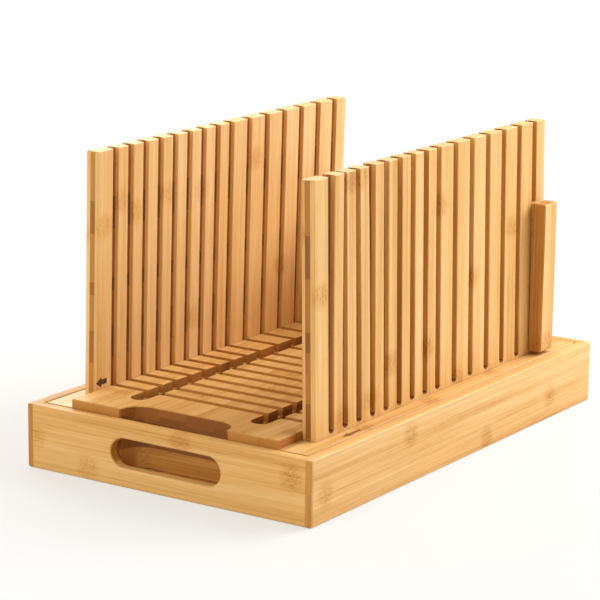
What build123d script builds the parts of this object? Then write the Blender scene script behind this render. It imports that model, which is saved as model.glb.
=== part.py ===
"""Bread slicer guide: a crumb tray, a slicing base dropped into it, two slotted walls and a loaf stop.

Millimetres, +Z up. The origin is on the table, under the middle of the tray.
-Y is the front, where the loaf goes in and where the tray has its hand slot in view.
"""
import math
import os

from build123d import *

# ---------------------------------------------------------------- crumb tray
TRAY_WIDTH = 206.0
TRAY_DEPTH = 337.0
TRAY_HEIGHT = 40.0
END_PANEL = 7.5          # thickness of the front and the rear panel
SIDE_PANEL = 8.0         # thickness of the two side panels
CORNER_LIP = 4.6         # what a side panel keeps outside the rebate for an end panel
FLOOR_THICK = 4.0
FLOOR_HEIGHT = 3.0       # underside of the floor above the table
FLOOR_TONGUE = 3.0       # how far the floor runs into the panels
FLOOR_FIT = 0.15         # play of the floor in its grooves, all round
HAND_SLOT_LENGTH = 79.0
HAND_SLOT_HIGH = 18.0
HAND_SLOT_HEIGHT = 21.0  # middle of the slot above the table
HAND_SLOT_EASE = 1.5
OUTER_EDGE = 1.8         # rounding of the tray's upright and lower edges
RIM_EDGE = 0.8           # rounding and easing of the rim

BRAD_THICK = 1.3
BRAD_LENGTH = 18.0
BRAD_SUNK = 0.1          # a brad's head lies this far under the wood
LIP_BRAD_HEIGHTS = (8.6, 19.0, 35.0)
FACE_BRAD_HEIGHTS = (15.2, 27.0)
PIN_FIT = 0.02           # radial play of brads, dowels and screws in their holes

# ---------------------------------------------------------------- slicing base
BASE_PLAY = 0.8          # gap between the base and the tray, front and sides
BASE_REAR_PLAY = 0.3
REST_GAP = 0.3           # gap under a piece that rests on another one
RAIL_INNER = 11.7        # width of a side rail inside the wall groove, which carries the deck
RAIL_THICK = 20.0
RAIL_EASE = 0.5
CROSS_RAIL_DEEP = 21.0   # front and rear rail, measured along the tray
DECK_THICK = 8.0
DECK_PROUD = 5.3         # the deck's top above the tray's rim
DECK_EASE = 0.5
CRUMB_SLOT_WIDE = 12.0
CRUMB_SLOT_OFF = 44.0    # middle of a long crumb slot from the middle of the deck
KERF_WIDE = 5.0          # cross grooves in the deck, one under each pair of wall slots
KERF_DEEP = 5.3
SCOOP_LENGTH = 76.6      # finger scoop through deck and rail
SCOOP_DEEP = 13.5
BAR_WIDE = 14.0
BAR_HIGH = 10.0
SLICE_COUNT_TO_BAR = 3   # slices before the one over the first cross bar
BARS_BEFORE_LAST = 2     # the last bar starts at this cut, counted back from the last one

DOWEL_THICK = 8.0
DOWEL_LENGTH = 30.0
DOWEL_INSET = 5.5        # dowel from the edge of the rail that it holds
BAR_DOWEL_THICK = 5.0
BAR_DOWEL_LENGTH = 22.0
SCREW_THICK = 3.0
SCREW_HEAD = 6.0
SCREW_BITE = 4.0         # how far a screw runs into the deck
BAR_SCREW_OFF = 22.0
OVERSHOOT = 1.0          # how far a cut runs past the wood

# ---------------------------------------------------------------- slotted walls
WALL_THICK = 9.0
WALL_INSIDE = 75.0       # inner face from the middle of the guide, at the height of the rim
WALL_PLAY = 0.3          # side play of a wall at the deck
WALL_OUTER_PLAY = 0.5    # gap between a wall and the rail outside it
WALL_SETBACK = 23.7      # a wall's front edge behind the base's front
WALL_HIGH = 152.0        # above the rim
GROOVE_DEEP = 12.0
WALL_LEAN = 1.1          # degrees, the looseness lets both walls lean inwards
WALL_EASE = 0.4
WALL_CORNER = 1.5
FIRST_TINE = 14.4        # width of the tine before the first slot
THIN_SLICE = 15.0
THICK_SLICE = 20.0
THIN_COUNT = 8           # thick slices follow, as many as the base has room for
SLOT_WIDE = 5.2
SLOT_FLOOR = 1.5         # lowest point of a slot above the rim
END_TINE = 11.2          # width of the tine behind the last slot
GROOVE_END_PLAY = 0.5

# ---------------------------------------------------------------- loaf stop
STOP_THICK = 4.6
STOP_HIGH = 96.5
STOP_HOUSING = 3.0       # how far the panel's ends are let into the battens
BATTEN_WIDE = 9.0
BATTEN_DEEP = 16.0
BATTEN_FORWARD = 3.0     # a batten's front face before the panel's
BATTEN_DROP = 1.0        # a batten's foot below the panel's lower edge
BATTEN_EASE = 0.7
STOP_BRAD_SPREAD = 32.0  # distance between the three brads in a batten
STOP_BRAD_LENGTH = 22.0

# ---------------------------------------------------------------- values that follow
FRONT_Y = -TRAY_DEPTH / 2
REAR_Y = TRAY_DEPTH / 2
SIDE_X = TRAY_WIDTH / 2
TRAY_IN_X = SIDE_X - SIDE_PANEL
TRAY_IN_Y = REAR_Y - END_PANEL
END_PANEL_X = SIDE_X - CORNER_LIP
FLOOR_TOP = FLOOR_HEIGHT + FLOOR_THICK

BASE_X = TRAY_IN_X - BASE_PLAY
BASE_FRONT = -TRAY_IN_Y + BASE_PLAY
BASE_REAR = TRAY_IN_Y - BASE_REAR_PLAY
BASE_BOTTOM = FLOOR_TOP + REST_GAP
DECK_TOP = TRAY_HEIGHT + DECK_PROUD
DECK_BOTTOM = DECK_TOP - DECK_THICK
RAIL_BOTTOM = TRAY_HEIGHT - RAIL_THICK
GROOVE_IN = WALL_INSIDE - WALL_PLAY
GROOVE_OUT = WALL_INSIDE + WALL_THICK + WALL_OUTER_PLAY
LEDGE_IN = GROOVE_IN - RAIL_INNER
GROOVE_FLOOR = TRAY_HEIGHT - GROOVE_DEEP

WALL_BOTTOM = GROOVE_FLOOR + REST_GAP
WALL_TOP = TRAY_HEIGHT + WALL_HIGH
WALL_FRONT = BASE_FRONT + WALL_SETBACK
WALL_LIMIT = BASE_REAR - CROSS_RAIL_DEEP - GROOVE_END_PLAY   # the groove ends before the rear rail
CUTS = [WALL_FRONT + FIRST_TINE + SLOT_WIDE / 2]
CUTS += [CUTS[0] + (i + 1) * THIN_SLICE for i in range(THIN_COUNT)]
THICK_COUNT = int((WALL_LIMIT - END_TINE - SLOT_WIDE / 2 - CUTS[-1]) // THICK_SLICE)
CUTS += [CUTS[-1] + (i + 1) * THICK_SLICE for i in range(THICK_COUNT)]
WALL_REAR = CUTS[-1] + SLOT_WIDE / 2 + END_TINE
WALL_MIDDLE = WALL_INSIDE + WALL_THICK / 2
SLOT_ROUND = TRAY_HEIGHT + SLOT_FLOOR + SLOT_WIDE / 2   # height of the middle of a slot's round end

SLOT_SEAT = SLOT_ROUND - math.sqrt((SLOT_WIDE / 2) ** 2 - (STOP_THICK / 2) ** 2)
STOP_BOTTOM = SLOT_SEAT + REST_GAP
STOP_TOP = STOP_BOTTOM + STOP_HIGH
STOP_FRONT = CUTS[-1] - STOP_THICK / 2
STOP_REAR = CUTS[-1] + STOP_THICK / 2
BARS_AFTER = (SLICE_COUNT_TO_BAR, THIN_COUNT, THIN_COUNT + THICK_COUNT - BARS_BEFORE_LAST)
LEDGE_SCREWS_AFTER = [index + 1 for index in BARS_AFTER]   # clear of the bars' dowels
BATTEN_IN = GROOVE_OUT
BATTEN_FRONT = STOP_FRONT - BATTEN_FORWARD
STOP_END = BATTEN_IN + STOP_HOUSING


# ---------------------------------------------------------------- small helpers
def block(x, y, z):
    """A box between two limits on each axis."""
    size = [hi - lo for lo, hi in (x, y, z)]
    middle = [(lo + hi) / 2 for lo, hi in (x, y, z)]
    return Pos(*middle) * Box(*size)


def rod(start, axis, length, thick, play=0.0):
    """A round pin from start along +X, -X, +Y, -Y or +Z; play widens it to cut its hole."""
    turns = {"+X": (0, 90, 0), "-X": (0, -90, 0), "+Y": (-90, 0, 0), "-Y": (90, 0, 0), "+Z": (0, 0, 0)}
    pin = Cylinder(thick / 2 + play, length, align=(Align.CENTER, Align.CENTER, Align.MIN))
    return Pos(*start) * Rot(*turns[axis]) * pin


def countersunk_screw(x, y, z, length, play=0.0):
    """A screw that points up, with its flat head in the underside at height z."""
    head_high = (SCREW_HEAD - SCREW_THICK) / 2
    low = (Align.CENTER, Align.CENTER, Align.MIN)
    head = Cone(SCREW_HEAD / 2 + play, SCREW_THICK / 2 + play, head_high, align=low)
    shank = Cylinder(SCREW_THICK / 2 + play, length + play, align=low)
    return Pos(x, y, z) * (head + shank)


def mirrored(piece):
    """The same piece on the other side of the guide."""
    return piece.mirror(Plane.YZ)


def bored(piece, pins):
    """A piece with holes for the pins, made by their wider twins."""
    for pin in pins:
        piece = piece - pin
    return piece


def between_cuts(index):
    """Middle of the slice between this cut and the next one."""
    return (CUTS[index] + CUTS[index + 1]) / 2


# ---------------------------------------------------------------- crumb tray
def tray_envelope():
    """The tray's outside with its rounded edges, less the room inside with its eased rim."""
    outside = block((-SIDE_X, SIDE_X), (FRONT_Y, REAR_Y), (0, TRAY_HEIGHT))
    lower = outside.edges().filter_by(Axis.Z) + outside.faces().sort_by(Axis.Z)[0].edges()
    outside = fillet(lower, OUTER_EDGE)
    outside = fillet(outside.faces().sort_by(Axis.Z)[-1].edges(), RIM_EDGE)
    inside = block((-TRAY_IN_X, TRAY_IN_X), (-TRAY_IN_Y, TRAY_IN_Y), (-OVERSHOOT, TRAY_HEIGHT))
    rim = Rectangle(2 * TRAY_IN_X, 2 * TRAY_IN_Y)
    wider = Rectangle(2 * TRAY_IN_X + 2 * RIM_EDGE, 2 * TRAY_IN_Y + 2 * RIM_EDGE)
    easing = loft([Pos(0, 0, TRAY_HEIGHT - RIM_EDGE) * rim, Pos(0, 0, TRAY_HEIGHT) * wider])
    return outside - inside - easing


def tray_floor(play=0.0):
    """The thin board in the grooves of all four panels; play widens it to cut the grooves."""
    reach_x = TRAY_IN_X + FLOOR_TONGUE - FLOOR_FIT + play
    reach_y = TRAY_IN_Y + FLOOR_TONGUE - FLOOR_FIT + play
    return block((-reach_x, reach_x), (-reach_y, reach_y), (FLOOR_HEIGHT - play, FLOOR_TOP + play))


def lip_brads(play=0.0):
    """Brads through the lips of the side panels into the ends of the front and rear panels."""
    brads = []
    for y in (FRONT_Y + END_PANEL / 2, REAR_Y - END_PANEL / 2):
        for z in LIP_BRAD_HEIGHTS:
            brads.append(rod((SIDE_X - BRAD_SUNK, y, z), "-X", BRAD_LENGTH, BRAD_THICK, play))
            brads.append(rod((-SIDE_X + BRAD_SUNK, y, z), "+X", BRAD_LENGTH, BRAD_THICK, play))
    return brads


def face_brads(play=0.0):
    """Brads through the front and rear panels into the side panels."""
    brads = []
    for x in (-(TRAY_IN_X + END_PANEL_X) / 2, (TRAY_IN_X + END_PANEL_X) / 2):
        for z in FACE_BRAD_HEIGHTS:
            brads.append(rod((x, FRONT_Y + BRAD_SUNK, z), "+Y", BRAD_LENGTH, BRAD_THICK, play))
            brads.append(rod((x, REAR_Y - BRAD_SUNK, z), "-Y", BRAD_LENGTH, BRAD_THICK, play))
    return brads


def side_panel(envelope):
    """The right side panel: full depth, rebated at both ends, grooved for the floor."""
    panel = block((TRAY_IN_X, SIDE_X), (FRONT_Y, REAR_Y), (0, TRAY_HEIGHT)) & envelope
    for y in ((FRONT_Y - OVERSHOOT, -TRAY_IN_Y), (TRAY_IN_Y, REAR_Y + OVERSHOOT)):
        panel -= block((TRAY_IN_X - OVERSHOOT, END_PANEL_X), y, (-OVERSHOOT, TRAY_HEIGHT + OVERSHOOT))
    panel -= tray_floor(FLOOR_FIT)
    return bored(panel, lip_brads(PIN_FIT) + face_brads(PIN_FIT))


def end_panel(envelope):
    """The front panel: it sits in the rebates of the side panels and has the hand slot."""
    panel = block((-END_PANEL_X, END_PANEL_X), (FRONT_Y, -TRAY_IN_Y), (0, TRAY_HEIGHT))
    panel &= envelope + block((-END_PANEL_X, END_PANEL_X), (FRONT_Y + OUTER_EDGE, -TRAY_IN_Y),
                              (OUTER_EDGE, TRAY_HEIGHT - RIM_EDGE))
    slot = extrude(SlotOverall(HAND_SLOT_LENGTH, HAND_SLOT_HIGH), END_PANEL, both=True)
    slot = Pos(0, FRONT_Y, HAND_SLOT_HEIGHT) * Rot(90, 0, 0) * slot
    panel -= slot
    reach = HAND_SLOT_HIGH / 2 + OVERSHOOT
    rims = [e for e in panel.edges()
            if abs(e.center().Z - HAND_SLOT_HEIGHT) < reach
            and abs(e.center().X) < HAND_SLOT_LENGTH / 2 + OVERSHOOT
            and min(abs(e.center().Y - FRONT_Y), abs(e.center().Y + TRAY_IN_Y)) < 0.01]
    panel = fillet(rims, HAND_SLOT_EASE)
    panel -= tray_floor(FLOOR_FIT)
    return bored(panel, lip_brads(PIN_FIT) + face_brads(PIN_FIT))


# ---------------------------------------------------------------- slicing base
def scoops():
    """The finger scoops at the front and at the rear, right through deck and rails."""
    tool = extrude(SlotOverall(SCOOP_LENGTH, 2 * SCOOP_DEEP), TRAY_HEIGHT + DECK_THICK)
    return [Pos(0, BASE_FRONT, 0) * tool, Pos(0, BASE_REAR, 0) * tool]


def frame_dowels(play=0.0):
    """Dowels between the side rails and the front and rear rails."""
    z = (RAIL_BOTTOM + DECK_BOTTOM) / 2
    start = LEDGE_IN - DOWEL_LENGTH / 2
    dowels = []
    for edge, way in ((BASE_FRONT, 1), (BASE_REAR, -1)):
        for inset in (DOWEL_INSET, CROSS_RAIL_DEEP - DOWEL_INSET):
            right = rod((start, edge + way * inset, z), "+X", DOWEL_LENGTH, DOWEL_THICK, play)
            dowels += [right, mirrored(right)]
    return dowels


def bar_dowels(play=0.0):
    """Dowels between the side rails and the cross bars."""
    z = DECK_BOTTOM - BAR_HIGH / 2
    start = LEDGE_IN - BAR_DOWEL_LENGTH / 2
    dowels = []
    for index in BARS_AFTER:
        right = rod((start, between_cuts(index), z), "+X", BAR_DOWEL_LENGTH, BAR_DOWEL_THICK, play)
        dowels += [right, mirrored(right)]
    return dowels


def bar_screws(play=0.0):
    """Screws up through the cross bars into the middle of the deck."""
    screws = []
    for index in BARS_AFTER:
        for x in (-BAR_SCREW_OFF, BAR_SCREW_OFF):
            screws.append(countersunk_screw(x, between_cuts(index), DECK_BOTTOM - BAR_HIGH,
                                            BAR_HIGH + SCREW_BITE, play))
    return screws


def ledge_screws(play=0.0):
    """Screws up through the side rails into the deck's margins."""
    x = (LEDGE_IN + GROOVE_IN) / 2
    length = DECK_BOTTOM - RAIL_BOTTOM + SCREW_BITE
    return [countersunk_screw(side * x, between_cuts(index), RAIL_BOTTOM, length, play)
            for index in LEDGE_SCREWS_AFTER for side in (-1, 1)]


def side_rail():
    """The right side rail: a ledge for the deck, the wall groove and the strip outside it."""
    rail = block((LEDGE_IN, BASE_X), (BASE_FRONT, BASE_REAR), (RAIL_BOTTOM, TRAY_HEIGHT))
    rail = chamfer(rail.faces().sort_by(Axis.X)[-1].edges(), RAIL_EASE)
    rail -= block((LEDGE_IN - OVERSHOOT, GROOVE_IN), (BASE_FRONT - OVERSHOOT, BASE_REAR + OVERSHOOT),
                  (DECK_BOTTOM, TRAY_HEIGHT + OVERSHOOT))
    rail -= block((GROOVE_IN, GROOVE_OUT), (WALL_FRONT - GROOVE_END_PLAY, WALL_REAR + GROOVE_END_PLAY),
                  (GROOVE_FLOOR, TRAY_HEIGHT + OVERSHOOT))
    return bored(rail, frame_dowels(PIN_FIT) + bar_dowels(PIN_FIT) + ledge_screws(PIN_FIT))


def cross_rail(y):
    """The front or the rear rail, which stands on the tray's floor and carries the deck's end."""
    rail = block((-LEDGE_IN, LEDGE_IN), y, (BASE_BOTTOM, DECK_BOTTOM))
    rail = chamfer(rail.faces().sort_by(Axis.Z)[0].edges(), RAIL_EASE)
    return bored(rail, scoops() + frame_dowels(PIN_FIT))


def cross_bar(index):
    """A bar under the deck, between the crumb openings."""
    y = between_cuts(index)
    bar = block((-LEDGE_IN, LEDGE_IN), (y - BAR_WIDE / 2, y + BAR_WIDE / 2),
                (DECK_BOTTOM - BAR_HIGH, DECK_BOTTOM))
    bar = chamfer(bar.faces().sort_by(Axis.Z)[0].edges().filter_by(Axis.X), RAIL_EASE)
    return bored(bar, bar_dowels(PIN_FIT) + bar_screws(PIN_FIT))


def deck():
    """The cutting deck: finger scoops, two long crumb slots and a kerf under each pair of slots."""
    board = block((-GROOVE_IN, GROOVE_IN), (BASE_FRONT, BASE_REAR), (DECK_BOTTOM, DECK_TOP))
    for scoop in scoops():
        board -= scoop
    board = chamfer(board.faces().sort_by(Axis.Z)[-1].edges(), DECK_EASE)
    slot_from = BASE_FRONT + CROSS_RAIL_DEEP
    slot_to = BASE_REAR - CROSS_RAIL_DEEP
    slot = extrude(SlotOverall(slot_to - slot_from, CRUMB_SLOT_WIDE), 2 * DECK_THICK, both=True)
    for x in (-CRUMB_SLOT_OFF, CRUMB_SLOT_OFF):
        board -= Pos(x, (slot_from + slot_to) / 2, DECK_TOP) * Rot(0, 0, 90) * slot
    across = (-GROOVE_IN - OVERSHOOT, GROOVE_IN + OVERSHOOT)
    for y in CUTS:
        board -= block(across, (y - KERF_WIDE / 2, y + KERF_WIDE / 2),
                       (DECK_TOP - KERF_DEEP, DECK_TOP + OVERSHOOT))
    return bored(board, bar_screws(PIN_FIT) + ledge_screws(PIN_FIT))


# ---------------------------------------------------------------- slotted walls
def slotted_wall():
    """The right wall: a comb with round-ended slots, eased edges and a slight lean inwards."""
    outline = Pos((WALL_FRONT + WALL_REAR) / 2, (WALL_BOTTOM + WALL_TOP) / 2)
    outline = outline * Rectangle(WALL_REAR - WALL_FRONT, WALL_TOP - WALL_BOTTOM)
    outline = fillet(outline.vertices().group_by(Axis.Y)[-1], WALL_CORNER)
    for y in CUTS:
        upright = Rectangle(SLOT_WIDE, WALL_TOP - SLOT_ROUND + OVERSHOOT, align=(Align.CENTER, Align.MIN))
        outline -= Pos(y, SLOT_ROUND) * (upright + Circle(SLOT_WIDE / 2))
    comb = extrude(Plane.YZ.offset(WALL_INSIDE) * outline, WALL_THICK)
    faces = comb.faces().sort_by(Axis.X)
    comb = chamfer(faces[0].edges() + faces[-1].edges(), WALL_EASE)
    foot = Pos(WALL_MIDDLE, 0, (TRAY_HEIGHT + GROOVE_FLOOR) / 2)
    return foot * Rot(0, -WALL_LEAN, 0) * foot.inverse() * comb


# ---------------------------------------------------------------- loaf stop
def stop_brads(play=0.0):
    """Brads through the battens into the ends of the stop panel."""
    brads = []
    for step in (-1, 0, 1):
        z = (STOP_BOTTOM + STOP_TOP) / 2 + step * STOP_BRAD_SPREAD
        start = (BATTEN_IN + BATTEN_WIDE - BRAD_SUNK, CUTS[-1], z)
        right = rod(start, "-X", STOP_BRAD_LENGTH, BRAD_THICK, play)
        brads += [right, mirrored(right)]
    return brads


def stop_panel():
    """The thin board that drops into the last pair of slots; its ends are let into the battens."""
    panel = block((-STOP_END, STOP_END), (STOP_FRONT, STOP_REAR), (STOP_BOTTOM, STOP_TOP))
    panel = chamfer(panel.faces().sort_by(Axis.Z)[-1].edges().filter_by(Axis.X), BATTEN_EASE)
    return bored(panel, stop_brads(PIN_FIT))


def stop_batten():
    """The right batten, outside the wall, that keeps the stop from sliding sideways."""
    batten = block((BATTEN_IN, BATTEN_IN + BATTEN_WIDE), (BATTEN_FRONT, BATTEN_FRONT + BATTEN_DEEP),
                   (STOP_BOTTOM - BATTEN_DROP, STOP_TOP))
    batten = chamfer(batten.faces().sort_by(Axis.X)[-1].edges(), BATTEN_EASE)
    batten -= block((BATTEN_IN - OVERSHOOT, STOP_END), (STOP_FRONT, STOP_REAR),
                    (STOP_BOTTOM, STOP_TOP + OVERSHOOT))
    return bored(batten, stop_brads(PIN_FIT))


# ---------------------------------------------------------------- the whole guide
def build_pieces():
    """Every piece of the guide under its name."""
    envelope = tray_envelope()
    right_side = side_panel(envelope)
    front = end_panel(envelope)
    right_rail = side_rail()
    right_wall = slotted_wall()
    right_batten = stop_batten()
    pieces = {
        "tray_front_panel": front,
        "tray_rear_panel": front.mirror(Plane.XZ),
        "tray_left_side": mirrored(right_side),
        "tray_right_side": right_side,
        "tray_floor": tray_floor(),
        "tray_lip_brads": Compound(children=lip_brads()),
        "tray_face_brads": Compound(children=face_brads()),
        "base_left_rail": mirrored(right_rail),
        "base_right_rail": right_rail,
        "base_front_rail": cross_rail((BASE_FRONT, BASE_FRONT + CROSS_RAIL_DEEP)),
        "base_rear_rail": cross_rail((BASE_REAR - CROSS_RAIL_DEEP, BASE_REAR)),
        "cutting_deck": deck(),
        "frame_dowels": Compound(children=frame_dowels()),
        "bar_dowels": Compound(children=bar_dowels()),
        "bar_screws": Compound(children=bar_screws()),
        "ledge_screws": Compound(children=ledge_screws()),
        "left_slotted_wall": mirrored(right_wall),
        "right_slotted_wall": right_wall,
        "stop_panel": stop_panel(),
        "stop_left_batten": mirrored(right_batten),
        "stop_right_batten": right_batten,
        "stop_brads": Compound(children=stop_brads()),
    }
    for number, index in enumerate(BARS_AFTER, start=1):
        pieces[f"deck_cross_bar_{number}"] = cross_bar(index)
    return pieces


os.makedirs("parts", exist_ok=True)
for name, piece in build_pieces().items():
    export_step(piece, f"parts/{name}.step")
    print(name)
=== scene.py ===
# %% [markdown]
# # A slicer guide in bamboo
# The real thing is a crumb tray with a hand slot, a slicing base that drops into it, two
# slotted walls that stand in the base, and a stop that hangs in the last pair of slots.
# Every board was cut from laminated bamboo, so the shapes are plain and the surface carries
# the likeness: long fibres, darker end grain, and the speckled knots where a cane had a joint.
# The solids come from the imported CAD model, and this script dresses them where they stand.

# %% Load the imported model
import math

import bpy
from mathutils import Matrix, Vector


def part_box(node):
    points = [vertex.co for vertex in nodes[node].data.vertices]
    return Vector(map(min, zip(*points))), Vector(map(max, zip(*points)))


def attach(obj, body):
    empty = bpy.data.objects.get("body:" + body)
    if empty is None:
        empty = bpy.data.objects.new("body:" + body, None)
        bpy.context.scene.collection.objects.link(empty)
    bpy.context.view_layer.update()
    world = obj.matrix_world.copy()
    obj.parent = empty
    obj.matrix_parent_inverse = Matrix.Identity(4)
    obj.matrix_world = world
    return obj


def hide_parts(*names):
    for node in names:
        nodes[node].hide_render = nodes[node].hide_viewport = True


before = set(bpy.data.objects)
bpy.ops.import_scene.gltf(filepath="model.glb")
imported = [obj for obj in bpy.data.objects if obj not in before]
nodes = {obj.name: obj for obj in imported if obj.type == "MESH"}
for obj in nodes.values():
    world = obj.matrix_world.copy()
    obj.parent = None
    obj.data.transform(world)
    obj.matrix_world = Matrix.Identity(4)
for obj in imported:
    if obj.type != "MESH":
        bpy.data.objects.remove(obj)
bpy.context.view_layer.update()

# %% [markdown]
# ## Millimetres, colours and nodes
# Boards are measured in millimetres and Blender works in metres, so one factor joins them.
# Colours are picked as sRGB hex values, the way a paint program shows them, and one function
# turns them to the linear light that a shader works in. One more function adds a node, sets
# it and links it, which keeps a material readable from top to bottom.

# %% Small helpers
MM = 0.001


def linear(hex_colour):
    """An sRGB hex value as linear red, green, blue and full alpha."""
    parts = [int(hex_colour[i:i + 2], 16) / 255 for i in (0, 2, 4)]
    return [c / 12.92 if c <= 0.04045 else ((c + 0.055) / 1.055) ** 2.4 for c in parts] + [1.0]


def add(tree, kind, inputs=None, **settings):
    """Adds a node with its settings; an input is a value, or the output that is linked to it."""
    node = tree.nodes.new(kind)
    for setting, value in settings.items():
        setattr(node, setting, value)
    for name, value in (inputs or {}).items():
        if isinstance(value, bpy.types.NodeSocket):
            tree.links.new(value, node.inputs[name])
        else:
            node.inputs[name].default_value = value
    return node


print("half grey in linear light:", [round(c, 3) for c in linear("808080")])

# %% [markdown]
# ## Laminated bamboo
# A board is glued up from strips of split cane, each about 20 mm wide and as long as the
# board. Along a strip run fibres, which show as fine streaks and short brown dashes. Every
# 200 to 300 mm the cane had a joint, which stays as a knot: a speckled fan a few millimetres
# long. Where a saw crosses the fibres, their ends show as dots and the wood looks darker,
# because the open ends swallow light.
#
# An image texture could show all this, but noise that is stretched along the fibres needs no
# file and fits a board of any size. All of it is gathered in one number from 0, dark, to 1,
# pale, and a ramp turns that number into colour, so the tones of all boards stay related.

# %% The colours of bamboo
BAMBOO_TONES = (
    (0.00, "7C4719"),   # burnt or soaked fibre
    (0.20, "A66828"),   # core of the plywood
    (0.35, "BC823A"),   # end grain
    (0.50, "D29D54"),   # dark strip
    (0.65, "E2B26F"),   # common strip
    (0.82, "ECC389"),   # pale strip
    (1.00, "F6DAB0"),   # palest streak
)
STRIP_WIDE = 20.0        # mm
KNOT_SPACING = 260.0     # mm between two joints of a cane
KNOT_REACH = (8.5, 9.0)  # mm: half a knot's size along and across the fibres
CLOUD = (240.0, 9.0, 9.0)     # mm along, across and through: the drift of tone in a strip
STREAK = (150.0, 1.5, 1.5)    # mm: the streaks
FIBRE = (45.0, 0.7, 0.7)      # mm; real fibres are half as wide, too fine to show in the render
DASH = (12.0, 0.7, 0.7)       # mm: the short brown dashes
SPECKLE = (2.4, 0.9, 0.9)     # mm: the dots of a knot
PORE = 1.3                    # painted shade on upright faces: how far they are down the tones
END_BLOCK = 5.0               # painted shade on the walls of a scoop
SIDE_SHADE = 0.27            # how far a sawn face is down the tones
SCOOP_SHADE = 0.26          # and a routed one

WEIGHTS = {   # how far each part of the pattern moves the number, and its middle
    "clouds": (0.46, 0.5), "streaks": (0.40, 0.5), "fibres": (0.30, 0.5), "strip": (0.10, 0.5),
    "dashes": (-0.09, 0.0), "knot": (-0.09, 0.0), "speckles": (-0.13, 0.0),
}

print("tones:", len(BAMBOO_TONES), "strip:", STRIP_WIDE, "mm")


# %% [markdown]
# The pattern reads Object coordinates. A CAD node's object sits at the origin, so these are
# places in the guide itself, and the pattern moves along when a board is lifted out. The axes
# are put in the board's own order first: along the fibres, across the strips, through the
# board.

# %% Axes, noise and masks
FACING = (0.6, 0.8)      # a normal's share along an axis, from where a face counts as facing it
NOISE_ROUGH = 0.55


def board_axes(tree, grain, across, place):
    """Sockets for the place along, across and through a board, in mm."""
    split = add(tree, "ShaderNodeSeparateXYZ", {0: place})
    through = ({"X", "Y", "Z"} - {grain, across}).pop()
    return [split.outputs[axis] for axis in (grain, across, through)]


def stretched_noise(tree, place, size, detail=2.0):
    """Noise whose cells have this size in mm along, across and through the board."""
    scaled = add(tree, "ShaderNodeVectorMath", {0: place, 1: [1 / s for s in size]},
                 operation="MULTIPLY").outputs[0]
    return add(tree, "ShaderNodeTexNoise", {"Vector": scaled, "Scale": 1.0, "Detail": detail,
                                            "Roughness": NOISE_ROUGH}).outputs[0]


def nearness(tree, value, far, near):
    """Turns a distance into a soft mask: 0 at far, 1 at near."""
    return add(tree, "ShaderNodeMapRange", {0: value, 1: far, 2: near, 3: 0.0, 4: 1.0},
               interpolation_type="SMOOTHSTEP").outputs[0]


print("masks ready")

# %% [markdown]
# Knots on the sides in view are put about where the real ones are. On the other sides each
# strip gets them at an even spacing, from a start that is drawn by chance.

# %% Knots
KNOT_EDGE = (1.25, 0.35)   # in sizes of a knot: where it starts and where it is full
NO_KNOT = 9.0              # a distance past any knot


def knot_mask(tree, axes, draw, knots):
    """1 in a knot, fading to 0: at the places given, or one every so often in each strip."""
    along, across, _ = axes
    if knots is None:
        start = add(tree, "ShaderNodeMath", {0: draw, 1: KNOT_SPACING, 2: along},
                    operation="MULTIPLY_ADD").outputs[0]
        off = add(tree, "ShaderNodeMath", {0: start, 1: KNOT_SPACING / 2},
                  operation="PINGPONG").outputs[0]
        return nearness(tree, off, KNOT_REACH[0], 1.0)
    flat = add(tree, "ShaderNodeCombineXYZ", {0: along, 1: across, 2: 0.0}).outputs[0]
    size = (1 / KNOT_REACH[0], 1 / KNOT_REACH[1], 0)
    here = add(tree, "ShaderNodeVectorMath", {0: flat, 1: size}, operation="MULTIPLY").outputs[0]
    nearest = NO_KNOT
    for knot in knots:
        centre = (knot[0] * size[0], knot[1] * size[1], 0)
        apart = add(tree, "ShaderNodeVectorMath", {0: here, 1: centre},
                    operation="DISTANCE").outputs["Value"]
        nearest = add(tree, "ShaderNodeMath", {0: apart, 1: nearest},
                      operation="MINIMUM").outputs[0]
    return nearness(tree, nearest, *KNOT_EDGE)


print("knots reach", KNOT_REACH, "mm")

# %% [markdown]
# Each strip is cut from another cane, so it gets its own number. That number draws its tone,
# and slides the noise far along, so that no two strips show the same streaks.

# %% Long grain and end grain
SEED_SHIFT = 0.37        # strips that a board's pattern moves aside for each step of its seed
SEED_STEP = 31.0         # and what a step adds to the strips' numbers
SLIDE = 197.3            # mm that the noise slides along from strip to strip
DASHES = (0.60, 0.74)    # heights of the noise where a dash starts and where it is full
SPECKLES = (0.46, 0.62)  # the same for a speckle
DASH_DEPTH = 0.6         # how deep a dash lies, in heights of the fibres
DOTS = (0.45, 0.15)      # in pore spacings: where a dot of end grain starts and where it is full
DOT_DARKER = 0.03


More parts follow.
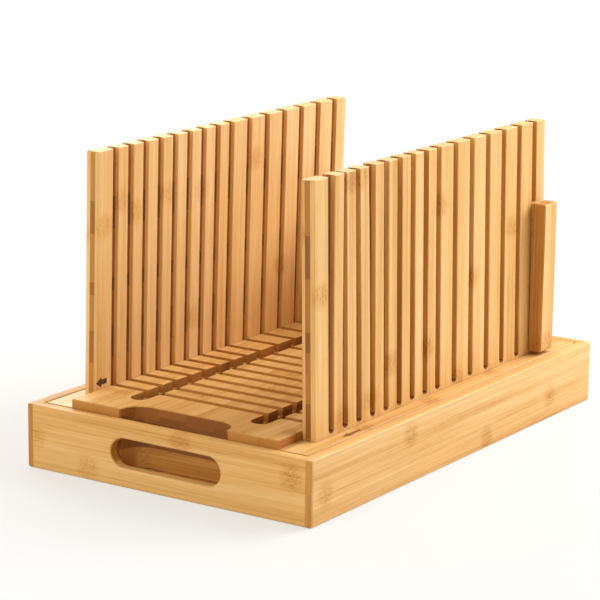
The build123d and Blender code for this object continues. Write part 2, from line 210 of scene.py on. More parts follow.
def bamboo_value(tree, axes, seed, tone, knots=None):
    """Dark to pale of long grain, and the height of its fibres."""
    along, across, through = axes
    strips = add(tree, "ShaderNodeMath", {0: across, 1: 1 / STRIP_WIDE, 2: seed * SEED_SHIFT},
                 operation="MULTIPLY_ADD").outputs[0]
    strip = add(tree, "ShaderNodeMath", {0: strips}, operation="FLOOR").outputs[0]
    number = add(tree, "ShaderNodeMath", {0: strip, 1: seed * SEED_STEP},
                 operation="ADD").outputs[0]
    chance = add(tree, "ShaderNodeTexWhiteNoise", {"W": number}, noise_dimensions="1D")
    draws = add(tree, "ShaderNodeSeparateColor", {0: chance.outputs["Color"]}).outputs
    slid = add(tree, "ShaderNodeMath", {0: number, 1: SLIDE, 2: along},
               operation="MULTIPLY_ADD").outputs[0]
    place = add(tree, "ShaderNodeCombineXYZ", {0: slid, 1: across, 2: through}).outputs[0]

    fibres = stretched_noise(tree, place, FIBRE)
    dashes = nearness(tree, stretched_noise(tree, place, DASH, 1.0), *DASHES)
    speckles = nearness(tree, stretched_noise(tree, place, SPECKLE, 1.0), *SPECKLES)
    knot = knot_mask(tree, axes, draws[1], knots)
    speckled = add(tree, "ShaderNodeMath", {0: knot, 1: speckles},
                   operation="MULTIPLY").outputs[0]
    sources = {"clouds": stretched_noise(tree, place, CLOUD, 1.0),
               "streaks": stretched_noise(tree, place, STREAK),
               "fibres": fibres, "strip": draws[0],
               "dashes": dashes, "knot": knot, "speckles": speckled}

    value = tone
    for source, (weight, middle) in WEIGHTS.items():
        shifted = add(tree, "ShaderNodeMath", {0: sources[source], 1: middle},
                      operation="SUBTRACT").outputs[0]
        value = add(tree, "ShaderNodeMath", {0: shifted, 1: weight, 2: value},
                    operation="MULTIPLY_ADD").outputs[0]
    height = add(tree, "ShaderNodeMath", {0: dashes, 1: -DASH_DEPTH, 2: fibres},
                 operation="MULTIPLY_ADD").outputs[0]
    return value, height


def end_value(tree, axes, tone, spread=0.10):
    """Dark to pale of end grain: a brown ground with the fibres' ends as darker dots."""
    _, across, through = axes
    face = add(tree, "ShaderNodeCombineXYZ", {0: across, 1: through, 2: 0.0}).outputs[0]
    dots = add(tree, "ShaderNodeTexVoronoi", {"Vector": face, "Scale": 1 / PORE},
               voronoi_dimensions="2D").outputs["Distance"]
    dot = nearness(tree, dots, *DOTS)
    blocks = add(tree, "ShaderNodeVectorMath", {0: face, 1: (1 / STRIP_WIDE, 1 / END_BLOCK, 0)},
                 operation="MULTIPLY").outputs[0]
    block = add(tree, "ShaderNodeVectorMath", {0: blocks}, operation="FLOOR").outputs[0]
    chance = add(tree, "ShaderNodeTexWhiteNoise", {"Vector": block},
                 noise_dimensions="2D").outputs["Value"]
    value = add(tree, "ShaderNodeMath", {0: chance, 1: spread, 2: tone},
                operation="MULTIPLY_ADD").outputs[0]
    return add(tree, "ShaderNodeMath", {0: dot, 1: -DOT_DARKER, 2: value},
               operation="MULTIPLY_ADD").outputs[0]


print("grain weights:", {source: weight for source, (weight, _) in WEIGHTS.items()})

# %% [markdown]
# The surface of a food board is sanded fine and wiped with oil. That leaves a soft sheen with
# no mirror image in it: a roughness near 0.5, a little lower on the pale streaks, and a bump
# of a tenth of a millimetre. The index of refraction stays at 1.5, as for most finishes.

# %% Oiled surface
def finish(material, value, height):
    """Turns dark to pale into the oiled surface."""
    tree = material.node_tree
    ramp = add(tree, "ShaderNodeValToRGB", {0: value})
    stops = ramp.color_ramp.elements
    while len(stops) < len(BAMBOO_TONES):
        stops.new(0.5)
    for stop, (position, colour) in zip(stops, BAMBOO_TONES):
        stop.position, stop.color = position, linear(colour)
    rough = add(tree, "ShaderNodeMapRange", {0: value, 1: 0.2, 2: 0.8, 3: 0.62, 4: 0.46})
    bump = add(tree, "ShaderNodeBump", {"Height": height, "Strength": 0.3, "Distance": 0.12 * MM})
    shader = add(tree, "ShaderNodeBsdfPrincipled", {
        "Base Color": ramp.outputs[0], "Roughness": rough.outputs[0], "IOR": 1.5,
        "Normal": bump.outputs[0]})
    add(tree, "ShaderNodeOutputMaterial", {"Surface": shader.outputs[0]})


def new_material(name):
    """An empty material, and the node that gives the place on a piece in metres."""
    material = bpy.data.materials.new(name)
    material.use_nodes = True
    material.node_tree.nodes.clear()
    return material, add(material.node_tree, "ShaderNodeTexCoord")


print("oiled surface ready")

# %% [markdown]
# How a face was cut decides its tone: sanded long grain is palest and end grain is darker.
# Painted shade darkens some upright faces as well: the sides of the deck's slots, the
# battens' fronts beside the wall, and, darker still, the walls of a scoop. All of this can be
# told from which way a face points, and for a scoop from its place.

# %% Bamboo board
SHADED_EDGE_FROM, SHADED_EDGE_TO = (0.45, 0.55), (0.90, 0.80)   # upward shares between which an edge slants and gets painted shade
SHADED_SIDE = (0.3, 0.6)        # share along the shaded axis, from where a face gets painted shade
UPRIGHT = (0.6, 0.3)     # upward share, from where a face counts as upright
BOX_EDGE = (1.01, 0.99)  # in reaches of a box: from outside it to inside it


def scoop_shade_mask(tree, place, facing, middle, reach):
    """1 on the upright faces inside a box, given by its middle and its reach in mm: the scoop
    walls that get painted shade.
    """
    apart = add(tree, "ShaderNodeVectorMath", {0: place, 1: middle},
                operation="SUBTRACT").outputs[0]
    apart = add(tree, "ShaderNodeVectorMath", {0: apart, 1: [1 / r for r in reach]},
                operation="MULTIPLY").outputs[0]
    apart = add(tree, "ShaderNodeVectorMath", {0: apart}, operation="ABSOLUTE").outputs[0]
    apart = add(tree, "ShaderNodeSeparateXYZ", {0: apart}).outputs
    widest = add(tree, "ShaderNodeMath", {0: apart[0], 1: apart[1]},
                 operation="MAXIMUM").outputs[0]
    widest = add(tree, "ShaderNodeMath", {0: widest, 1: apart[2]}, operation="MAXIMUM").outputs[0]
    inside = nearness(tree, widest, *BOX_EDGE)
    upright = nearness(tree, facing["Z"], *UPRIGHT)
    return add(tree, "ShaderNodeMath", {0: inside, 1: upright}, operation="MULTIPLY").outputs[0]


def bamboo(name, grain, across, seed, tone=0.65, knots=None, end_tone=0.32, shaded=None, shade_boxes=(),
           edge_shade=0.0):
    """One board: long grain on its faces, end grain where its fibres are cut. Painted shade
    darkens three kinds of faces: the upright faces along the axis given after end_tone, the
    walls of the scoops inside the boxes given after that, and, by the last number, the
    slanting edges."""
    material, where = new_material(name)
    tree = material.node_tree
    place = add(tree, "ShaderNodeVectorMath", {0: where.outputs["Object"], "Scale": 1 / MM},
                operation="SCALE").outputs[0]
    axes = board_axes(tree, grain, across, place)
    long_grain, height = bamboo_value(tree, axes, seed, tone, knots)
    facing = add(tree, "ShaderNodeVectorMath", {0: where.outputs["Normal"]}, operation="ABSOLUTE")
    facing = add(tree, "ShaderNodeSeparateXYZ", {0: facing.outputs[0]}).outputs
    # The upright faces along the given axis get painted shade.
    if shaded:
        is_shaded_side = nearness(tree, facing[shaded], *SHADED_SIDE)
        long_grain = add(tree, "ShaderNodeMath", {0: is_shaded_side, 1: -SIDE_SHADE, 2: long_grain},
                         operation="MULTIPLY_ADD").outputs[0]
    is_end = nearness(tree, facing[grain], *FACING)
    ends = end_value(tree, axes, end_tone)
    value = add(tree, "ShaderNodeMix", {0: is_end, 2: long_grain, 3: ends}).outputs[0]
    darker = []
    # Painted shade on the slanting edges, standing in for the dark gap beside them.
    if edge_shade:
        low, high = (nearness(tree, facing["Z"], *edge) for edge in (SHADED_EDGE_FROM, SHADED_EDGE_TO))
        shaded_edge = add(tree, "ShaderNodeMath", {0: low, 1: high}, operation="MULTIPLY").outputs[0]
        darker.append((shaded_edge, edge_shade))
    # Painted shade on the walls of the scoops.
    darker += [(scoop_shade_mask(tree, place, facing, middle, reach), SCOOP_SHADE)
               for middle, reach in shade_boxes]
    for mask, drop in darker:
        value = add(tree, "ShaderNodeMath", {0: mask, 1: -drop, 2: value},
                    operation="MULTIPLY_ADD").outputs[0]
    finish(material, value, height)
    return material


print("sawn faces are darker by", SIDE_SHADE, "and routed ones by", SCOOP_SHADE)

# %% [markdown]
# ## Bamboo plywood
# The walls are three-ply: two faces with upright fibres, and a core whose strips lie along
# the wall, so that the tines between the slots don't snap off. On the front edge and inside
# every slot the core shows its end grain, a dark line between two pale ones. The walls lean
# inwards by about a degree, so the place is turned upright before the plies are told apart.

# %% Sizes and tones of the plywood
WALL_LEAN = 1.1          # degrees
WALL_INSIDE = 75.0       # mm from the middle to the inner face, at the foot
FOOT = (79.5, 34.0)      # mm: the point that the lean turns round
PLIES = (2.4, 6.0)       # mm from the inner face: where the core starts and ends
GLUE = 0.1               # mm: half the width of the line between two plies
CORE_TONE = {"left": 0.31, "right": 0.22}   # end grain of the core's strips
CORE_LONG_DARKER = 0.15  # how much darker the core's long grain is than the faces
DARK_BLOCK = 0.16        # how much darker some of the core's strips are
TOP_TONE = 0.67          # the tines' tops: end grain, pale of its own and paler still by painted light from above
SLOT_SHADE = 0.16       # how much painted shade darkens the sides of the slots
SLOT_ENDS = 48.0         # mm: the slots' round ends lie below this height
SLOT_END_SHADE = 0.60        # and how much painted shade darkens them
ROUNDED = (0.3, 0.5)     # upward share, from where a slot's side turns into its round end
CORE_SPREAD = 0.06       # how much the core's end grain differs from strip to strip
BLOCK_EDGE = 0.2         # mm: half the width of the line between two strips of the core
WALL_ENDS = [corner.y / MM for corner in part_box("right_slotted_wall")]
OFF_ENDS = (1.0, 3.0)    # mm from a wall's front or rear edge, past which a cut is in a slot
OUTER_SEED, CORE_SEED = 3, 5   # what the outer ply and the core add to the wall's seed
print("walls from", round(WALL_ENDS[0], 1), "to", round(WALL_ENDS[1], 1), "mm")

# %% [markdown]
# The core's end grain is worked out first, with its dark strips. Then the three plies are put
# together by depth, and last come the cuts: the tops of the tines, and the sides and the
# round ends of the slots, which get painted shade.

# %% Plywood material
def core_grain(tree, lying, height, tone, dark_blocks):
    """End grain of the core; the strips that end at the heights in dark_blocks are dark."""
    value = end_value(tree, lying, tone, CORE_SPREAD)
    for low, high in dark_blocks:
        off = add(tree, "ShaderNodeMath", {0: height, 1: (low + high) / 2},
                  operation="SUBTRACT").outputs[0]
        off = add(tree, "ShaderNodeMath", {0: off}, operation="ABSOLUTE").outputs[0]
        block = nearness(tree, off, (high - low) / 2 + BLOCK_EDGE, (high - low) / 2 - BLOCK_EDGE)
        value = add(tree, "ShaderNodeMath", {0: block, 1: -DARK_BLOCK, 2: value},
                    operation="MULTIPLY_ADD").outputs[0]
    return value


def plywood(name, side, seed, tone, inner_knots, outer_knots, core_tone, dark_blocks):
    """A wall's material; side is 1 for the right wall and -1 for the left one."""
    material, where = new_material(name)
    tree = material.node_tree
    lean = math.radians(WALL_LEAN)
    x, z = FOOT
    shift = (x - x * math.cos(lean) - z * math.sin(lean), 0,
             z + x * math.sin(lean) - z * math.cos(lean))
    upright = add(tree, "ShaderNodeMapping", {
        "Vector": where.outputs["Object"], "Location": shift, "Rotation": (0, lean, 0),
        "Scale": (side / MM, 1 / MM, 1 / MM)})
    place = add(tree, "ShaderNodeSeparateXYZ", {0: upright.outputs[0]}).outputs
    standing = (place["Z"], place["Y"], place["X"])
    lying = (place["Y"], place["Z"], place["X"])
    facing = add(tree, "ShaderNodeVectorMath", {0: where.outputs["Normal"]}, operation="ABSOLUTE")
    facing = add(tree, "ShaderNodeSeparateXYZ", {0: facing.outputs[0]}).outputs

    depth = add(tree, "ShaderNodeMath", {0: place["X"], 1: WALL_INSIDE},
                operation="SUBTRACT").outputs[0]
    after = nearness(tree, depth, PLIES[0] - GLUE, PLIES[0] + GLUE)
    before = nearness(tree, depth, PLIES[1] + GLUE, PLIES[1] - GLUE)
    in_core = add(tree, "ShaderNodeMath", {0: after, 1: before}, operation="MULTIPLY").outputs[0]
    inner, height = bamboo_value(tree, standing, seed, tone, inner_knots)
    outer, _ = bamboo_value(tree, standing, seed + OUTER_SEED, tone, outer_knots)
    faces = add(tree, "ShaderNodeMix", {0: after, 2: inner, 3: outer}).outputs[0]
    core_long, _ = bamboo_value(tree, lying, seed + CORE_SEED, tone - CORE_LONG_DARKER, ())
    core_end = core_grain(tree, lying, place["Z"], core_tone, dark_blocks)
    cut_across = nearness(tree, facing["Y"], *FACING)
    core = add(tree, "ShaderNodeMix", {0: cut_across, 2: core_long, 3: core_end}).outputs[0]
    value = add(tree, "ShaderNodeMix", {0: in_core, 2: faces, 3: core}).outputs[0]

    # The tops get a pale tone: pale end grain, with painted light from above.
    is_top, tops = nearness(tree, facing["Z"], *FACING), end_value(tree, standing, TOP_TONE)
    value = add(tree, "ShaderNodeMix", {0: is_top, 2: value, 3: tops}).outputs[0]
    from_front = nearness(tree, place["Y"], *[WALL_ENDS[0] + off for off in OFF_ENDS])
    from_rear = nearness(tree, place["Y"], *[WALL_ENDS[1] - off for off in OFF_ENDS])
    inside = add(tree, "ShaderNodeMath", {0: from_front, 1: from_rear},
                 operation="MULTIPLY").outputs[0]
    in_slot = add(tree, "ShaderNodeMath", {0: inside, 1: cut_across},
                  operation="MULTIPLY").outputs[0]
    # Painted shade in the slots: on their sides, and darker on their round ends.
    low = nearness(tree, place["Z"], SLOT_ENDS + 2, SLOT_ENDS)
    rounded = nearness(tree, facing["Z"], *ROUNDED)
    slot_end = add(tree, "ShaderNodeMath", {0: low, 1: rounded}, operation="MULTIPLY").outputs[0]
    for mask, drop in ((in_slot, SLOT_SHADE), (slot_end, SLOT_END_SHADE)):
        value = add(tree, "ShaderNodeMath", {0: mask, 1: -drop, 2: value},
                    operation="MULTIPLY_ADD").outputs[0]
    finish(material, value, height)
    return material


print("plywood ready, plies at", PLIES, "mm")

# %% [markdown]
# ## Steel brads and screws, beech dowels
# The tray and the stop are nailed with brads whose heads lie a tenth of a millimetre under
# the wood, so they don't show, and the dowels hide inside the joints. The flat heads of the
# screws show when the base is lifted out and looked at from below. Each still gets its real
# finish. Steel is a metal, so its colour is the colour of its reflection.

# %% Metal and dowel
MARK = 0.4               # mm: the size of the marks that drawing or turning leaves in steel
BEECH_GRAIN = (12.0, 0.8, 0.8)    # mm along the dowel, across and through
BEECH_FLECK = (2.4, 0.4, 0.4)     # mm


def brushed_steel(name, tone, roughness):
    """Drawn wire or a turned screw, with fine marks that make it duller in places."""
    material, where = new_material(name)
    tree = material.node_tree
    marks = add(tree, "ShaderNodeTexNoise", {
        "Vector": where.outputs["Object"], "Scale": 1 / (MARK * MM), "Detail": 2.0}).outputs[0]
    rough = add(tree, "ShaderNodeMapRange", {0: marks, 1: 0.3, 2: 0.7, 3: roughness - 0.08,
                                             4: roughness + 0.12}).outputs[0]
    shade = add(tree, "ShaderNodeMapRange", {0: marks, 1: 0.3, 2: 0.7, 3: 0.85, 4: 1.0})
    colour = add(tree, "ShaderNodeMix", {0: shade.outputs[0], 6: linear("3A2E24"),
                                         7: linear(tone)}, data_type="RGBA").outputs[2]
    shader = add(tree, "ShaderNodeBsdfPrincipled", {"Base Color": colour, "Metallic": 1.0,
                                                    "Roughness": rough})
    add(tree, "ShaderNodeOutputMaterial", {"Surface": shader.outputs[0]})
    return material


def beech(name):
    """Beech dowel: pale pinkish wood with short dark flecks along the X axis."""
    material, where = new_material(name)
    tree = material.node_tree
    place = add(tree, "ShaderNodeVectorMath", {0: where.outputs["Object"], "Scale": 1 / MM},
                operation="SCALE").outputs[0]
    grain = stretched_noise(tree, place, BEECH_GRAIN, 3.0)
    flecks = nearness(tree, stretched_noise(tree, place, BEECH_FLECK, 1.0), 0.60, 0.72)
    pale = add(tree, "ShaderNodeMix", {0: grain, 6: linear("C79C72"), 7: linear("E3C29B")},
               data_type="RGBA").outputs[2]
    colour = add(tree, "ShaderNodeMix", {0: flecks, 6: pale, 7: linear("A87B52")},
                 data_type="RGBA").outputs[2]
    bump = add(tree, "ShaderNodeBump", {"Height": grain, "Strength": 0.2, "Distance": 0.1 * MM})
    shader = add(tree, "ShaderNodeBsdfPrincipled", {
        "Base Color": colour, "Roughness": 0.6, "IOR": 1.5, "Normal": bump.outputs[0]})
    add(tree, "ShaderNodeOutputMaterial", {"Surface": shader.outputs[0]})
    return material


print("steel and beech ready")

# %% [markdown]
# ## Dress the boards
# Each board gets its own draw of the pattern, and its fibres run along its length: side to
# side in the tray's front, front to back in its sides and in the deck.

# %% Where the knots are
KNOTS = {   # mm along and across the fibres
    "front": ((11, 34), (-57, 8), (89, 28), (-96, 20)),
    "side": ((-62, 31), (112, 15), (-154, 17), (30, 6)),
    "rail": ((-94, 88), (-20, 91), (60, 87)),
    "batten": ((47, 123),),
    "right_outside": ((125, -130), (186, -99), (187, -88), (156, 3), (104, 43), (70, -13),
                      (43, 27), (69, -53), (48, -108), (52, -77), (128, 92)),
    "left_inside": ((146, -130), (159, -113), (150, -99), (156, -67), (165, 28), (154, -31),
                    (88, 60), (72, -40), (110, 100)),
}
CORE_BLOCKS = {   # mm of height between which a core strip is dark
    "left": ((142, 162), (62, 82), (104, 112)),
    "right": ((135, 160), (42, 62), (92, 104)),
}
SCOOPED = [((0, side * 150, 40), (39.5, 14.2, 20)) for side in (-1, 1)]   # mm: middle and reach
print("knots in view:", sum(len(places) for places in KNOTS.values()))

# %% Materials on the CAD nodes
FINISHES = {
    "tray_front_panel": bamboo("bamboo_front_panel", "X", "Z", 1, 0.64, KNOTS["front"]),
    "tray_rear_panel": bamboo("bamboo_rear_panel", "X", "Z", 2, 0.64),
    "tray_left_side": bamboo("bamboo_left_side", "Y", "Z", 3, 0.66),
    "tray_right_side": bamboo("bamboo_right_side", "Y", "Z", 4, 0.65, KNOTS["side"]),
    "tray_floor": bamboo("bamboo_tray_floor", "Y", "X", 5, 0.38),
    "tray_lip_brads": brushed_steel("steel_lip_brads", "8A8178", 0.45),
    "tray_face_brads": brushed_steel("steel_face_brads", "8A8178", 0.45),
    # The rails' slanting edges get painted shade.
    "base_left_rail": bamboo("bamboo_left_rail", "Y", "X", 6, 0.80, edge_shade=0.14),
    "base_right_rail": bamboo("bamboo_right_rail", "Y", "X", 7, 0.58, KNOTS["rail"], edge_shade=0.14),
    # The scoop walls in these three get painted shade, and so do the deck's upright slot sides.
    "base_front_rail": bamboo("bamboo_front_rail", "X", "Z", 8, 0.35, shade_boxes=SCOOPED),
    "base_rear_rail": bamboo("bamboo_rear_rail", "X", "Z", 9, 0.37, shade_boxes=SCOOPED),
    "cutting_deck": bamboo("bamboo_deck", "Y", "X", 10, 0.55, shaded="X", shade_boxes=SCOOPED),
    "deck_cross_bar_1": bamboo("bamboo_cross_bar_1", "X", "Y", 11, 0.58),
    "deck_cross_bar_2": bamboo("bamboo_cross_bar_2", "X", "Y", 12, 0.60),
    "deck_cross_bar_3": bamboo("bamboo_cross_bar_3", "X", "Y", 13, 0.56),
    "frame_dowels": beech("beech_frame_dowels"),
    "bar_dowels": beech("beech_bar_dowels"),
    "bar_screws": brushed_steel("steel_bar_screws", "B9B4AC", 0.35),
    "ledge_screws": brushed_steel("steel_ledge_screws", "B9B4AC", 0.35),
    "left_slotted_wall": plywood("bamboo_plywood_left_wall", -1, 14, 0.75, KNOTS["left_inside"],
                                 None, CORE_TONE["left"], CORE_BLOCKS["left"]),
    "right_slotted_wall": plywood("bamboo_plywood_right_wall", 1, 15, 0.63, None,
                                  KNOTS["right_outside"], CORE_TONE["right"],
                                  CORE_BLOCKS["right"]),
    "stop_panel": bamboo("bamboo_stop_panel", "X", "Z", 16, 0.62),
    # The battens' fronts get painted shade, for the wall beside them keeps the light off.
    "stop_left_batten": bamboo("bamboo_left_batten", "Z", "Y", 17, 0.66, shaded="Y"),
    "stop_right_batten": bamboo("bamboo_right_batten", "Z", "Y", 18, 0.66, KNOTS["batten"],
                                 shaded="Y"),
    "stop_brads": brushed_steel("steel_stop_brads", "8A8178", 0.45),
}
for name, material in FINISHES.items():
    node = nodes[name]
    node.data.materials.clear()
    node.data.materials.append(material)
print("dressed:", len(FINISHES), "of", len(nodes))

# %% [markdown]
# ## Bent tines
# Long tines of bamboo don't stay straight. Each is held at its foot alone, so as the wood dries
# it bends, some to the front and some to the rear, and a few slots get narrow at the top. The
# solids are straight, so the right wall, whose bent tines are plain to see, gets a bent copy
# that stands for it. A tine has corners only at its ends, so the copy is first cut level by
# level with bisect. Then the top of a tine is moved with proportional editing: the sharp
# falloff bends it like a spring that is held at one end, and the connected option leaves its
# neighbours alone.

# %% A bent copy of the right wall
FIRST_SLOT, THIN_SLICE = -119.5, 15.0   # mm: middle of the first slot, and on to the next
LEVELS = range(60, 190, 13)   # mm: heights of the added corners
MERGE = 0.005                 # mm: corners nearer than this are one
TINE_TOP = 188.0              # mm: what lies above moves as a whole
TINE_LONG = 150.0             # mm: how far down a bend is felt
BENDS = {2: 2.7, 3: -0.8, 4: -1.8}   # mm to the rear at the top of a tine, counted from the front

bent = bpy.data.objects.new("right_wall_bent", nodes["right_slotted_wall"].data.copy())
bpy.context.scene.collection.objects.link(bent)
bpy.ops.object.select_all(action="DESELECT")
bpy.context.view_layer.objects.active = bent
bent.select_set(True)
bpy.ops.object.mode_set(mode="EDIT")
bpy.ops.mesh.select_mode(type="VERT")
bpy.ops.mesh.select_all(action="SELECT")
bpy.ops.mesh.remove_doubles(threshold=MERGE * MM)
for level in LEVELS:
    bpy.ops.mesh.select_all(action="SELECT")
    bpy.ops.mesh.bisect(plane_co=(0, 0, level * MM), plane_no=(0, 0, 1))
for tine, bend in BENDS.items():
    front, rear = [(FIRST_SLOT + THIN_SLICE * (tine + step)) * MM for step in (-2, -1)]
    bpy.ops.mesh.select_all(action="DESELECT")
    bpy.ops.object.mode_set(mode="OBJECT")
    for corner in bent.data.vertices:
        corner.select = corner.co.z > TINE_TOP * MM and front < corner.co.y < rear
    bpy.ops.object.mode_set(mode="EDIT")
    bpy.ops.transform.translate(value=(0, bend * MM, 0), use_proportional_edit=True,
                                proportional_edit_falloff="SHARP",
                                proportional_size=TINE_LONG * MM,
                                use_proportional_connected=True)
bpy.ops.object.mode_set(mode="OBJECT")
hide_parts("right_slotted_wall")
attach(bent, "right_wall")
print("right_wall_bent corners:", len(bent.data.vertices), "bent tines:", len(BENDS))

# %% [markdown]
# ## Burnt arrows
# Two small arrows are burnt into the wood and point to the front: one on the right rail, one at
# the foot of the left wall. They tell which way round the pieces go together. A mark could be
# drawn in the material, but a thin piece of its own keeps its crisp outline from any distance.
# It starts as a plane, the shaft. Its front edge is extruded twice, to the barbs and to the
# point, and a Solidify modifier sinks it into the wood, so that only 0.05 mm stands proud.

# %% Scorched bamboo
SCORCH = (1.5, 1.5, 1.5)   # mm: the patches of an uneven burn


def burnt(name, dark, pale):
    """Scorched bamboo, dull and uneven between two browns: the deeper the burn, the darker."""
    material, where = new_material(name)
    tree = material.node_tree
    place = add(tree, "ShaderNodeVectorMath", {0: where.outputs["Object"], "Scale": 1 / MM},
                operation="SCALE").outputs[0]
    uneven = stretched_noise(tree, place, SCORCH, 3.0)
    shade = nearness(tree, uneven, 0.35, 0.65)
    colour = add(tree, "ShaderNodeMix", {0: shade, 6: linear(dark), 7: linear(pale)},
                 data_type="RGBA").outputs[2]
    rough = add(tree, "ShaderNodeMapRange", {0: uneven, 1: 0.3, 2: 0.7, 3: 0.62, 4: 0.78})
    bump = add(tree, "ShaderNodeBump", {"Height": uneven, "Strength": 0.3, "Distance": 0.1 * MM})
    shader = add(tree, "ShaderNodeBsdfPrincipled", {
        "Base Color": colour, "IOR": 1.5, "Roughness": rough.outputs[0],
        "Normal": bump.outputs[0]})
    add(tree, "ShaderNodeOutputMaterial", {"Surface": shader.outputs[0]})
    return material


light_burn = burnt("lightly_scorched_bamboo", "76421C", "96602F")
deep_burn = burnt("deeply_scorched_bamboo", "46220A", "5E3312")
print("burns:", light_burn.name, deep_burn.name)

# %% Two arrows
BARB = 0.4      # mm: how long the step from the shaft to the barbs is
PROUD = 0.05    # mm that an arrow stands out of the wood, and as much that it sinks in
CLOSE = 0.01    # mm: corners nearer to the front than this belong to the front edge


def select_front(piece):
    """Selects, in edit mode, the edge that lies furthest towards -Y."""
    bpy.ops.mesh.select_all(action="DESELECT")
    bpy.ops.object.mode_set(mode="OBJECT")
    front = min(corner.co.y for corner in piece.data.vertices)
    for corner in piece.data.vertices:
        corner.select = corner.co.y < front + CLOSE * MM
    bpy.ops.object.mode_set(mode="EDIT")


def arrow(name, shaft, head, place, tilt, material, body):
    """An arrow that points to -Y; shaft and head are (length, width) and place is its tail, in
    mm, and tilt turns it about the Y axis, in degrees."""
    bpy.ops.object.select_all(action="DESELECT")
    bpy.ops.mesh.primitive_plane_add(size=1.0, location=(0, 0, 0))
    piece = bpy.context.object
    piece.name = piece.data.name = name
    bpy.ops.object.mode_set(mode="EDIT")
    bpy.ops.mesh.select_mode(type="VERT")
    bpy.ops.mesh.select_all(action="SELECT")
    bpy.ops.transform.translate(value=(0, -0.5, 0))
    bpy.ops.transform.resize(value=(shaft[1] * MM, shaft[0] * MM, 1), center_override=(0, 0, 0))
    select_front(piece)
    bpy.ops.mesh.extrude_region_move(TRANSFORM_OT_translate={"value": (0, -BARB * MM, 0)})
    bpy.ops.transform.resize(value=(head[1] / shaft[1], 1, 1),
                             center_override=(0, -(shaft[0] + BARB) * MM, 0))
    bpy.ops.mesh.extrude_region_move(TRANSFORM_OT_translate={"value": (0, -head[0] * MM, 0)})
    bpy.ops.mesh.merge(type="CENTER")
    bpy.ops.object.mode_set(mode="OBJECT")
    thick = piece.modifiers.new("thickness", "SOLIDIFY")
    thick.thickness, thick.offset = 2 * PROUD * MM, 0.0
    bpy.ops.object.modifier_apply(modifier=thick.name)
    piece.location = [c * MM for c in place]
    piece.rotation_euler = (0, math.radians(tilt), 0)
    bpy.ops.object.transform_apply(location=True, rotation=True, scale=True)
    piece.data.materials.append(material)
    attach(piece, body)
    print(name, "faces:", len(piece.data.polygons))


arrow("rail_arrow", (11, 2.2), (7.5, 5.2), (90.6, -98.9, 40.0), 0,
      light_burn, "slicing_base")
arrow("wall_arrow", (5, 3.2), (5, 6.4), (-74.70, -126.7, 49.5), 90 + WALL_LEAN,
      deep_burn, "left_wall")

# %% [markdown]
# ## Floor, light and camera
# The guide stands on a white table in a white room. The table is plain matt paint. Seen by
# the camera or in a reflection it turns to pure white away from the guide, so that only a
# faint shadow is left round the foot, and for all other light it stays the same paint.

# %% Floor
SHADE_REACH = (0.20, 0.42)   # metres from the middle between which the shadow fades
WHITE_AT_FOOT = 0.60         # how much of the white is mixed in already under the guide
bpy.ops.object.select_all(action="DESELECT")
bpy.ops.mesh.primitive_plane_add(size=12.0, location=(0, 0, 0))
floor = bpy.context.object
floor.name = "floor"
floor_material = bpy.data.materials.new("white_table")
floor_material.use_nodes = True
floor_tree = floor_material.node_tree
floor_tree.nodes.clear()
rays = add(floor_tree, "ShaderNodeLightPath").outputs
seen = add(floor_tree, "ShaderNodeMath", {0: rays["Is Camera Ray"], 1: rays["Is Glossy Ray"]},
           operation="MAXIMUM").outputs[0]
seen = add(floor_tree, "ShaderNodeMath", {0: seen, 1: rays["Is Transmission Ray"]},
           operation="MAXIMUM").outputs[0]
paper = add(floor_tree, "ShaderNodeBsdfDiffuse", {"Color": linear("E0DEDE")}).outputs[0]
glow = add(floor_tree, "ShaderNodeEmission", {"Color": linear("FFFFFF"),
                                              "Strength": 1.0}).outputs[0]
where = add(floor_tree, "ShaderNodeTexCoord").outputs["Object"]
far = add(floor_tree, "ShaderNodeVectorMath", {0: where}, operation="LENGTH").outputs["Value"]
white = add(floor_tree, "ShaderNodeMapRange",
            {0: far, 1: SHADE_REACH[0], 2: SHADE_REACH[1], 3: WHITE_AT_FOOT, 4: 1.0},
            interpolation_type="SMOOTHSTEP").outputs[0]
lit = add(floor_tree, "ShaderNodeMixShader", {0: white, 1: paper, 2: glow}).outputs[0]
shown = add(floor_tree, "ShaderNodeMixShader", {0: seen, 1: paper, 2: lit}).outputs[0]
add(floor_tree, "ShaderNodeOutputMaterial", {"Surface": shown})
floor.data.materials.append(floor_material)
print("floor:", [round(d, 1) for d in floor.dimensions])

# %% [markdown]
# A pale warm room gives a little light from everywhere. Five soft lamps do the rest. The
# strongest, behind on the right, makes the right sides the brightest. A broad warm one in
# front fills the fronts, one above lights the tops, and two more behind, to the left and to
# the right, keep the backs and the tines' edges clear.

# %% World and lamps
world = bpy.data.worlds.new("white_room")
bpy.context.scene.world = world
world.use_nodes = True
sky = world.node_tree
sky.nodes.clear()
rays = add(sky, "ShaderNodeLightPath").outputs
seen = add(sky, "ShaderNodeMath", {0: rays["Is Camera Ray"], 1: rays["Is Transmission Ray"]},
           operation="MAXIMUM").outputs[0]
room = add(sky, "ShaderNodeBackground", {"Color": linear("FFF7DA"), "Strength": 0.50}).outputs[0]
white = add(sky, "ShaderNodeBackground", {"Color": linear("FFFFFF"), "Strength": 1.0}).outputs[0]
both = add(sky, "ShaderNodeMixShader", {0: seen, 1: room, 2: white}).outputs[0]
add(sky, "ShaderNodeOutputWorld", {"Surface": both})


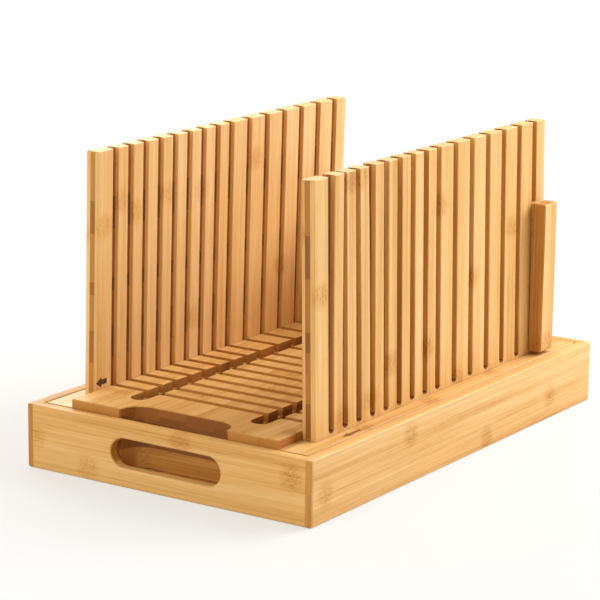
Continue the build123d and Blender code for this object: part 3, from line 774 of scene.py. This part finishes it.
def softbox(name, place, aim, size, watts, colour="FFFFFF"):
    """A square lamp at a place in metres, turned towards a point."""
    lamp = bpy.data.lights.new(name, "AREA")
    lamp.color = linear(colour)[:3]
    lamp.shape, lamp.size, lamp.energy = "SQUARE", size, watts
    holder = bpy.data.objects.new(name, lamp)
    bpy.context.scene.collection.objects.link(holder)
    holder.location = place
    holder.rotation_mode = "QUATERNION"
    holder.rotation_quaternion = (Vector(aim) - Vector(place)).to_track_quat("-Z", "Y")


MIDDLE = (0, 0, 0.08)
softbox("softbox_rear_right", (0.66, 0.80, 0.80), MIDDLE, 0.8, 15)
softbox("softbox_front", (-0.35, -1.6, 0.75), MIDDLE, 1.2, 11, "FFF6DE")
softbox("softbox_top", (0.1, 0.2, 1.8), MIDDLE, 1.2, 5)
softbox("softbox_rear_left", (-0.9, 0.6, 0.7), MIDDLE, 0.8, 8)
softbox("softbox_rear", (0.45, 1.05, 0.95), MIDDLE, 0.6, 5)
print("lamps:", len(bpy.data.lights))

# %% [markdown]
# The camera stands off the right front corner and looks down by 13 degrees through a long
# lens, as in the photograph. A turn, a lift and a roll are easy to think in, so the camera's
# three axes are worked out from them and set as one matrix.

# %% Camera
CAMERA_PLACE = (850.7, -1310.3, 455.8)   # mm
CAMERA_TURN = 33.552                     # degrees round the guide, from its front to the right
CAMERA_LIFT = 13.320                     # degrees above the horizon
CAMERA_ROLL = 0.688                      # degrees
CAMERA_LENS = 152.99                     # mm
SENSOR = 36.0                            # mm: the width of its picture
turn, lift, roll = (math.radians(a) for a in (CAMERA_TURN, CAMERA_LIFT, CAMERA_ROLL))
back = Vector((math.sin(turn) * math.cos(lift), -math.cos(turn) * math.cos(lift), math.sin(lift)))
right = (-back).cross(Vector((0, 0, 1))).normalized()
up = right.cross(-back)
level = Matrix((right, up, back)).transposed().to_4x4()
camera_data = bpy.data.cameras.new("camera")
camera_data.lens, camera_data.sensor_width = CAMERA_LENS, SENSOR
camera = bpy.data.objects.new("camera", camera_data)
bpy.context.scene.collection.objects.link(camera)
camera.matrix_world = (Matrix.Translation(Vector(CAMERA_PLACE) * MM) @ level
                       @ Matrix.Rotation(roll, 4, "Z"))
bpy.context.scene.camera = camera
bpy.context.scene.view_settings.view_transform = "Standard"
print("camera at", CAMERA_PLACE, "mm")
